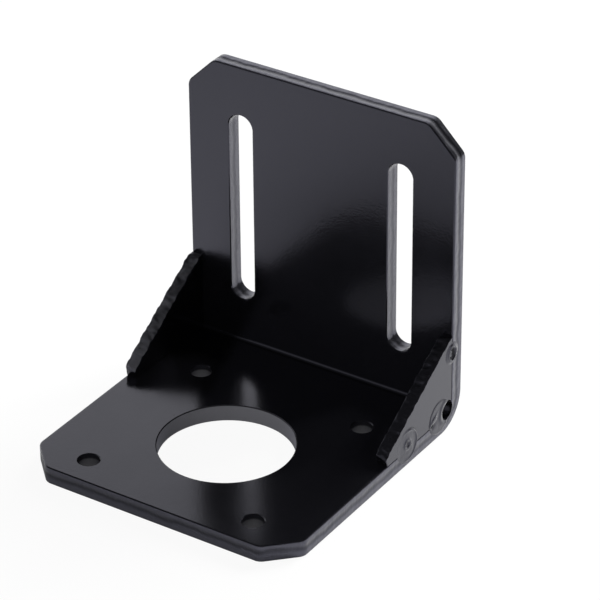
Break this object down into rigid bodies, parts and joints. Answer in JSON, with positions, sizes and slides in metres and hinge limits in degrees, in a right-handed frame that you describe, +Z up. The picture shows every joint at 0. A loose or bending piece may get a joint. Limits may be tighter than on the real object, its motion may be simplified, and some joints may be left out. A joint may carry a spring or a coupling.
{
  "type": "motor mounting bracket",
  "caption": "Folded steel L-bracket with welded side gussets: a motor plate with pilot bore and screw square, and an upright plate with long vertical slots.",
  "frame": {"origin": "on the axis of the motor bore, at the underside that the bracket rests on", "axes": "+Z up out of the motor plate along the bore axis, +Y from the front edge towards the upright plate, X along the fold"},
  "size_m": [0.0506, 0.051, 0.0535],
  "materials": {
    "sheet_coat": "semi-gloss black coat on steel",
    "gusset_coat": "semi-gloss black coat on steel, rough cut edge",
    "tack_coat": "semi-gloss black coat over weld tacks"
  },
  "bodies": {
    "root": {"bent_plate": "sheet_coat", "left_gusset": "gusset_coat", "right_gusset": "gusset_coat", "left_gusset_tacks": "tack_coat", "right_gusset_tacks": "tack_coat"}
  },
  "joints": []
}
